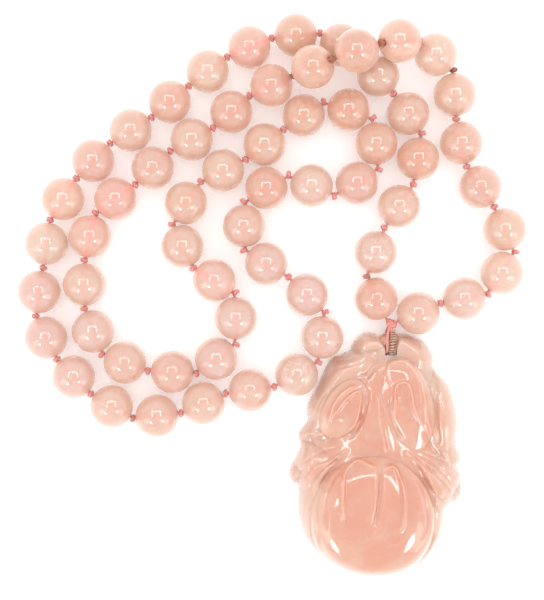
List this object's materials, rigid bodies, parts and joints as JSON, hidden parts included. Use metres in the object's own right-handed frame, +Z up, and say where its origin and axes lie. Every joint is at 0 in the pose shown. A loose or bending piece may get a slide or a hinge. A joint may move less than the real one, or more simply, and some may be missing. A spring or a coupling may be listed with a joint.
{
  "type": "mala prayer beads",
  "caption": "Closed strand of round drilled stone beads, knotted one by one on silk, with a carved stone peach amulet hung from a silk and wire bail, lying loosely coiled.",
  "frame": {"origin": "middle of the outline of the object as it lies coiled, on the table", "axes": "+Z up from the table, -Y towards the amulet's lower end, +X to the right"},
  "size_m": [0.1183, 0.1315, 0.0192],
  "materials": {
    "bead_stone": "polished translucent pale pink stone",
    "amulet_stone": "polished carved translucent pink stone",
    "silk": "twisted coral pink silk cord",
    "coil_wire": "tarnished fine wire coil"
  },
  "bodies": {
    "strand": {"beads_innermost": "bead_stone", "silk_inner": "silk", "silk_neck": "silk", "knots_lying": "silk"},
    "right_arc": {"silk_right_arc": "silk", "knots_right_arc": "silk"},
    "left_arc": {"silk_left_arc": "silk", "knots_left_arc": "silk"},
    "drop": {"silk_drop": "silk", "main_knot": "silk", "bail_silk": "silk", "bail_wire_coil": "coil_wire"},
    "amulet": {"amulet": "amulet_stone"},
    "bead_01": {"bead_01": "bead_stone"},
    "bead_02": {"bead_02": "bead_stone"},
    "bead_03": {"bead_03": "bead_stone"},
    "bead_04": {"bead_04": "bead_stone"},
    "bead_05": {"bead_05": "bead_stone"},
    "bead_06": {"bead_06": "bead_stone"},
    "bead_07": {"bead_07": "bead_stone"},
    "bead_08": {"bead_08": "bead_stone"},
    "bead_09": {"bead_09": "bead_stone"},
    "bead_10": {"bead_10": "bead_stone"},
    "bead_11": {"bead_11": "bead_stone"},
    "bead_12": {"bead_12": "bead_stone"},
    "bead_13": {"bead_13": "bead_stone"},
    "bead_14": {"bead_14": "bead_stone"},
    "bead_15": {"bead_15": "bead_stone"},
    "bead_16": {"bead_16": "bead_stone"},
    "bead_17": {"bead_17": "bead_stone"},
    "bead_18": {"bead_18": "bead_stone"},
    "bead_19": {"bead_19": "bead_stone"},
    "bead_20": {"bead_20": "bead_stone"},
    "bead_21": {"bead_21": "bead_stone"},
    "bead_22": {"bead_22": "bead_stone"},
    "bead_23": {"bead_23": "bead_stone"},
    "bead_38": {"bead_38": "bead_stone"},
    "bead_39": {"bead_39": "bead_stone"},
    "bead_40": {"bead_40": "bead_stone"},
    "bead_41": {"bead_41": "bead_stone"},
    "bead_42": {"bead_42": "bead_stone"},
    "bead_43": {"bead_43": "bead_stone"},
    "bead_44": {"bead_44": "bead_stone"},
    "bead_45": {"bead_45": "bead_stone"},
    "bead_46": {"bead_46": "bead_stone"},
    "bead_47": {"bead_47": "bead_stone"},
    "bead_48": {"bead_48": "bead_stone"},
    "bead_49": {"bead_49": "bead_stone"},
    "bead_50": {"bead_50": "bead_stone"},
    "bead_51": {"bead_51": "bead_stone"},
    "bead_52": {"bead_52": "bead_stone"},
    "bead_53": {"bead_53": "bead_stone"},
    "bead_54": {"bead_54": "bead_stone"},
    "bead_55": {"bead_55": "bead_stone"},
    "bead_56": {"bead_56": "bead_stone"},
    "bead_57": {"bead_57": "bead_stone"},
    "bead_58": {"bead_58": "bead_stone"},
    "bead_59": {"bead_59": "bead_stone"},
    "bead_60": {"bead_60": "bead_stone"},
    "bead_61": {"bead_61": "bead_stone"}
  },
  "joints": [
    {"name": "amulet_raise", "type": "hinge", "parent": "strand", "child": "drop", "pos_m": [0.03901, -0.00123, 0.005], "axis": [-0.9399, 0.3414, 0], "range_deg": [0, 25]},
    {"name": "amulet_tilt", "type": "hinge", "parent": "drop", "child": "amulet", "pos_m": [0.0273, -0.0101, 0.004], "axis": [-1, 0, 0], "range_deg": [0, 45]},
    {"name": "arc_left_lift", "type": "hinge", "parent": "strand", "child": "left_arc", "pos_m": [-0.01089, -0.0222, 0.005], "axis": [0.0035, 1, 0], "range_deg": [0, 50]},
    {"name": "arc_right_lift", "type": "hinge", "parent": "strand", "child": "right_arc", "pos_m": [0.04204, 0.05292, 0.00523], "axis": [-0.0558, -0.9984, -0.0042], "range_deg": [0, 35]},
    {"name": "bead_01_spin", "type": "hinge", "parent": "drop", "child": "bead_01", "pos_m": [0.03385, -0.00355, 0.005], "axis": [0.9134, 0.4072, 0], "continuous": true},
    {"name": "bead_02_spin", "type": "hinge", "parent": "right_arc", "child": "bead_02", "pos_m": [0.04455, -0.00015, 0.005], "axis": [0.9822, 0.1876, 0], "continuous": true},
    {"name": "bead_03_spin", "type": "hinge", "parent": "right_arc", "child": "bead_03", "pos_m": [0.0533, 0.0058, 0.005], "axis": [0.545, 0.8384, 0], "continuous": true},
    {"name": "bead_04_spin", "type": "hinge", "parent": "right_arc", "child": "bead_04", "pos_m": [0.054, 0.01595, 0.005], "axis": [-0.4258, 0.9048, 0], "continuous": true},
    {"name": "bead_05_spin", "type": "hinge", "parent": "right_arc", "child": "bead_05", "pos_m": [0.0483, 0.02585, 0.005], "axis": [-0.5698, 0.8218, 0], "continuous": true},
    {"name": "bead_06_spin", "type": "hinge", "parent": "right_arc", "child": "bead_06", "pos_m": [0.0439, 0.03605, 0.005], "axis": [-0.2193, 0.9757, 0], "continuous": true},
    {"name": "bead_07_spin", "type": "hinge", "parent": "right_arc", "child": "bead_07", "pos_m": [0.04235, 0.04725, 0.0051], "axis": [-0.0548, 0.9983, 0.0219], "continuous": true},
    {"name": "bead_08_spin", "type": "hinge", "parent": "strand", "child": "bead_08", "pos_m": [0.03775, 0.0563, 0.0066], "axis": [-0.7638, 0.5978, 0.2435], "continuous": true},
    {"name": "bead_09_spin", "type": "hinge", "parent": "strand", "child": "bead_09", "pos_m": [0.02895, 0.05855, 0.01115], "axis": [-0.8017, -0.2087, 0.5601], "continuous": true},
    {"name": "bead_10_spin", "type": "hinge", "parent": "strand", "child": "bead_10", "pos_m": [0.01895, 0.0557, 0.01425], "axis": [-0.9519, -0.3063, -0.0109], "continuous": true},
    {"name": "bead_11_spin", "type": "hinge", "parent": "strand", "child": "bead_11", "pos_m": [0.00915, 0.05265, 0.0109], "axis": [-0.7658, -0.2331, -0.5993], "continuous": true},
    {"name": "bead_12_spin", "type": "hinge", "parent": "strand", "child": "bead_12", "pos_m": [-0.0003, 0.04915, 0.0063], "axis": [-0.8974, -0.383, -0.2189], "continuous": true},
    {"name": "bead_13_spin", "type": "hinge", "parent": "strand", "child": "bead_13", "pos_m": [-0.0096, 0.04325, 0.005], "axis": [-0.7444, -0.6678, 0], "continuous": true},
    {"name": "bead_14_spin", "type": "hinge", "parent": "strand", "child": "bead_14", "pos_m": [-0.0188, 0.03685, 0.005], "axis": [-0.8808, -0.4734, 0], "continuous": true},
    {"name": "bead_15_spin", "type": "hinge", "parent": "strand", "child": "bead_15", "pos_m": [-0.02785, 0.03025, 0.005], "axis": [-0.7181, -0.696, 0], "continuous": true},
    {"name": "bead_16_spin", "type": "hinge", "parent": "strand", "child": "bead_16", "pos_m": [-0.03655, 0.02305, 0.005], "axis": [-0.8167, -0.5771, 0], "continuous": true},
    {"name": "bead_17_spin", "type": "hinge", "parent": "strand", "child": "bead_17", "pos_m": [-0.0425, 0.0143, 0.005], "axis": [-0.2216, -0.9751, 0], "continuous": true},
    {"name": "bead_18_spin", "type": "hinge", "parent": "strand", "child": "bead_18", "pos_m": [-0.0438, 0.00315, 0.005], "axis": [0, -1, 0], "continuous": true},
    {"name": "bead_19_spin", "type": "hinge", "parent": "strand", "child": "bead_19", "pos_m": [-0.04175, -0.0078, 0.005], "axis": [0.3583, -0.9336, 0], "continuous": true},
    {"name": "bead_20_spin", "type": "hinge", "parent": "strand", "child": "bead_20", "pos_m": [-0.03435, -0.015, 0.005], "axis": [0.9454, -0.326, 0], "continuous": true},
    {"name": "bead_21_spin", "type": "hinge", "parent": "strand", "child": "bead_21", "pos_m": [-0.02335, -0.0172, 0.005], "axis": [0.999, -0.0439, 0], "continuous": true},
    {"name": "bead_22_spin", "type": "hinge", "parent": "strand", "child": "bead_22", "pos_m": [-0.0131, -0.01415, 0.005], "axis": [0.8026, 0.5965, 0], "continuous": true},
    {"name": "bead_23_spin", "type": "hinge", "parent": "strand", "child": "bead_23", "pos_m": [-0.00855, -0.00475, 0.005], "axis": [-0.0101, 0.9999, 0], "continuous": true},
    {"name": "bead_38_spin", "type": "hinge", "parent": "strand", "child": "bead_38", "pos_m": [0.01155, -0.00915, 0.005], "axis": [-0.1356, -0.9908, 0], "continuous": true},
    {"name": "bead_39_spin", "type": "hinge", "parent": "strand", "child": "bead_39", "pos_m": [0.0056, -0.01785, 0.005], "axis": [-0.8727, -0.4883, 0], "continuous": true},
    {"name": "bead_40_spin", "type": "hinge", "parent": "strand", "child": "bead_40", "pos_m": [-0.00525, -0.02145, 0.005], "axis": [-0.9899, -0.1414, 0], "continuous": true},
    {"name": "bead_41_spin", "type": "hinge", "parent": "left_arc", "child": "bead_41", "pos_m": [-0.0161, -0.0245, 0.005], "axis": [-0.9111, -0.4122, 0], "continuous": true},
    {"name": "bead_42_spin", "type": "hinge", "parent": "left_arc", "child": "bead_42", "pos_m": [-0.0269, -0.0274, 0.005], "axis": [-0.9939, -0.1104, 0], "continuous": true},
    {"name": "bead_43_spin", "type": "hinge", "parent": "left_arc", "child": "bead_43", "pos_m": [-0.0374, -0.0252, 0.005], "axis": [-0.8614, 0.508, 0], "continuous": true},
    {"name": "bead_44_spin", "type": "hinge", "parent": "left_arc", "child": "bead_44", "pos_m": [-0.04625, -0.01835, 0.005], "axis": [-0.696, 0.7181, 0], "continuous": true},
    {"name": "bead_45_spin", "type": "hinge", "parent": "left_arc", "child": "bead_45", "pos_m": [-0.0527, -0.00925, 0.005], "axis": [-0.4428, 0.8966, 0], "continuous": true},
    {"name": "bead_46_spin", "type": "hinge", "parent": "left_arc", "child": "bead_46", "pos_m": [-0.0543, 0.0014, 0.005], "axis": [0.1537, 0.9881, 0], "continuous": true},
    {"name": "bead_47_spin", "type": "hinge", "parent": "left_arc", "child": "bead_47", "pos_m": [-0.0526, 0.0126, 0.005], "axis": [0.1322, 0.9912, 0], "continuous": true},
    {"name": "bead_48_spin", "type": "hinge", "parent": "left_arc", "child": "bead_48", "pos_m": [-0.04875, 0.023, 0.005], "axis": [0.5319, 0.8468, 0], "continuous": true},
    {"name": "bead_49_spin", "type": "hinge", "parent": "left_arc", "child": "bead_49", "pos_m": [-0.04175, 0.0319, 0.005], "axis": [0.6905, 0.7234, 0], "continuous": true},
    {"name": "bead_50_spin", "type": "hinge", "parent": "left_arc", "child": "bead_50", "pos_m": [-0.033, 0.039, 0.005], "axis": [0.8517, 0.5241, 0], "continuous": true},
    {"name": "bead_51_spin", "type": "hinge", "parent": "left_arc", "child": "bead_51", "pos_m": [-0.0239, 0.04565, 0.005], "axis": [0.7646, 0.6445, 0], "continuous": true},
    {"name": "bead_52_spin", "type": "hinge", "parent": "left_arc", "child": "bead_52", "pos_m": [-0.0151, 0.0527, 0.005], "axis": [0.8, 0.6, 0], "continuous": true},
    {"name": "bead_53_spin", "type": "hinge", "parent": "strand", "child": "bead_53", "pos_m": [-0.0054, 0.0583, 0.005], "axis": [0.9191, 0.3939, 0], "continuous": true},
    {"name": "bead_54_spin", "type": "hinge", "parent": "strand", "child": "bead_54", "pos_m": [0.0054, 0.0611, 0.005], "axis": [0.9939, 0.1104, 0], "continuous": true},
    {"name": "bead_55_spin", "type": "hinge", "parent": "strand", "child": "bead_55", "pos_m": [0.0159, 0.05885, 0.005], "axis": [0.8662, -0.4997, 0], "continuous": true},
    {"name": "bead_56_spin", "type": "hinge", "parent": "strand", "child": "bead_56", "pos_m": [0.0245, 0.05175, 0.005], "axis": [0.6562, -0.7546, 0], "continuous": true},
    {"name": "bead_57_spin", "type": "hinge", "parent": "strand", "child": "bead_57", "pos_m": [0.0315, 0.0429, 0.005], "axis": [0.5895, -0.8078, 0], "continuous": true},
    {"name": "bead_58_spin", "type": "hinge", "parent": "strand", "child": "bead_58", "pos_m": [0.0338, 0.03235, 0.005], "axis": [-0.1627, -0.9867, 0], "continuous": true},
    {"name": "bead_59_spin", "type": "hinge", "parent": "strand", "child": "bead_59", "pos_m": [0.0294, 0.02135, 0.005], "axis": [-0.5593, -0.829, 0], "continuous": true},
    {"name": "bead_60_spin", "type": "hinge", "parent": "strand", "child": "bead_60", "pos_m": [0.02395, 0.01065, 0.005], "axis": [-0.3344, -0.9424, 0], "continuous": true},
    {"name": "bead_61_spin", "type": "hinge", "parent": "drop", "child": "bead_61", "pos_m": [0.0241, -0.0002, 0.005], "axis": [0.3939, -0.9191, 0], "continuous": true}
  ]
}
